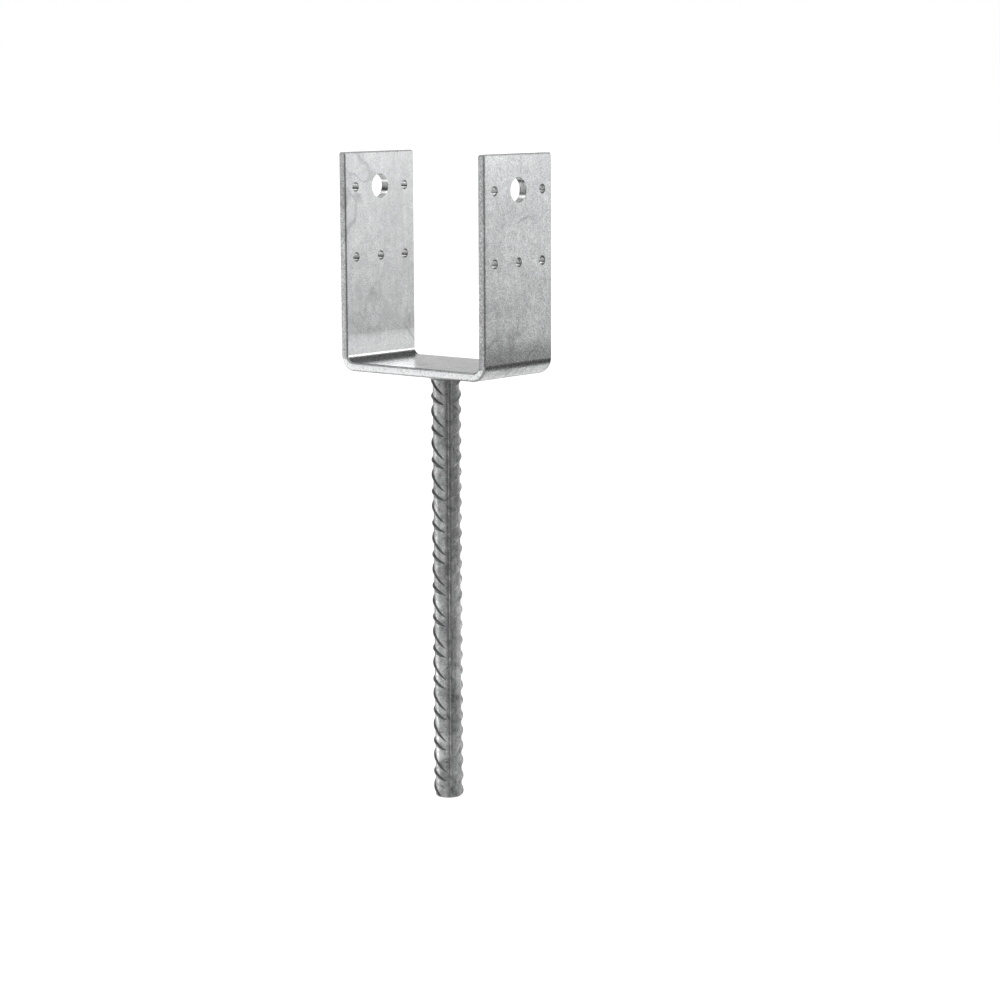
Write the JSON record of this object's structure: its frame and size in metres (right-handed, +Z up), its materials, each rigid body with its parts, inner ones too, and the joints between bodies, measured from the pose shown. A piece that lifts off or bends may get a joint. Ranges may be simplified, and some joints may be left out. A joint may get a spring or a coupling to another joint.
{
  "type": "timber post base",
  "caption": "Folded steel U bracket with bolt and screw holes, welded on a ribbed bar that is cast into concrete to carry a timber post.",
  "frame": {"origin": "middle of the seat's top face, where the post's foot stands", "axes": "+Z up towards the post, X across the two legs, Y along the width of the flat bar"},
  "size_m": [0.108, 0.06, 0.375],
  "materials": {
    "galvanised_flat": "hot-dip galvanised, dull and cloudy",
    "galvanised_bar": "hot-dip galvanised, dull",
    "galvanised_weld": "hot-dip galvanised over a weld"
  },
  "bodies": {
    "root": {"post_bracket": "galvanised_flat", "anchor_bar": "galvanised_bar", "weld_bead": "galvanised_weld"}
  },
  "joints": []
}
